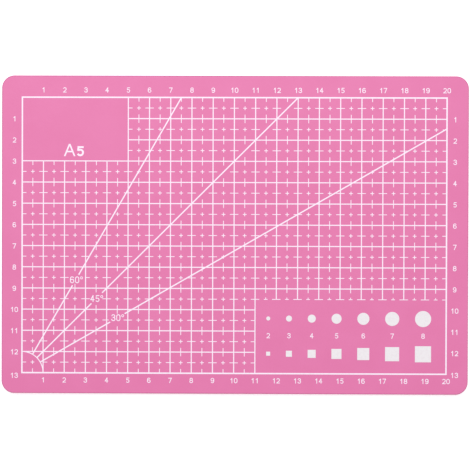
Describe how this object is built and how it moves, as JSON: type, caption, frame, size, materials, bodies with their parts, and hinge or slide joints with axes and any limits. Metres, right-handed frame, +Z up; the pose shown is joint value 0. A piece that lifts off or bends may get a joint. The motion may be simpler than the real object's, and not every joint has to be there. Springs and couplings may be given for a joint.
{
  "type": "self-healing cutting mat",
  "caption": "Flat pink cutting mat with rounded corners and a white printed centimetre grid, angle lines, edge rulers, and round and square size gauges.",
  "frame": {"origin": "centre of the mat's underside", "axes": "+X along the long rulers, +Y from the near long ruler to the far one, +Z up out of the printed face"},
  "size_m": [0.22, 0.15, 0.003],
  "materials": {
    "healing_pvc": "matte",
    "stiffener_pvc": "matte",
    "core_pvc": "matte",
    "white_ink": "satin"
  },
  "bodies": {
    "root": {"top_healing_sheet": "healing_pvc", "upper_stiffener": "stiffener_pvc", "core_ply": "core_pvc", "lower_stiffener": "stiffener_pvc", "bottom_healing_sheet": "healing_pvc", "frame_line": "white_ink", "centimetre_lines": "white_ink", "half_centimetre_ticks": "white_ink", "half_centimetre_crosses": "white_ink", "angle_line_30": "white_ink", "angle_line_45": "white_ink", "angle_line_60": "white_ink", "corner_arc": "white_ink", "angle_numerals": "white_ink", "far_numerals": "white_ink", "near_numerals": "white_ink", "left_numerals": "white_ink", "right_numerals": "white_ink", "size_mark": "white_ink", "circle_gauges": "white_ink", "square_gauges": "white_ink", "gauge_numerals": "white_ink"}
  },
  "joints": []
}
